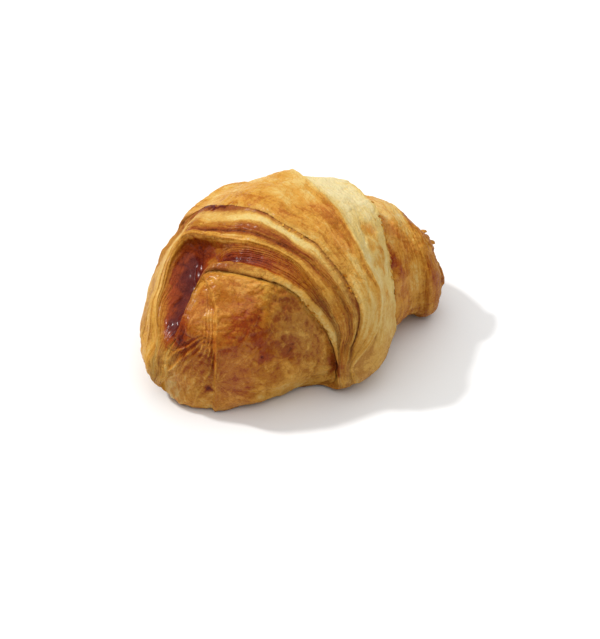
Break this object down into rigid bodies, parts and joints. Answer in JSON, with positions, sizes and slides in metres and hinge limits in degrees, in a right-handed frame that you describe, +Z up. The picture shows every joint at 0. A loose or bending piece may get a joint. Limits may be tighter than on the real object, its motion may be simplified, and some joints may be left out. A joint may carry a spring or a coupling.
{
  "type": "butter croissant",
  "caption": "Baked butter croissant of rolled, laminated dough, lightly curved, with a flat underside that rests on a plate or tray.",
  "frame": {"origin": "on the plane that the croissant rests on, under the middle of its bounding box", "axes": "+X along the length, towards the smaller far end; +Z up; the inside of the curve faces -Y"},
  "size_m": [0.1252, 0.0944, 0.0648],
  "materials": {
    "crust": "egg-washed and baked, golden brown with darker glossy patches and pale laminated bands"
  },
  "bodies": {
    "root": {"croissant": "crust"}
  },
  "joints": []
}
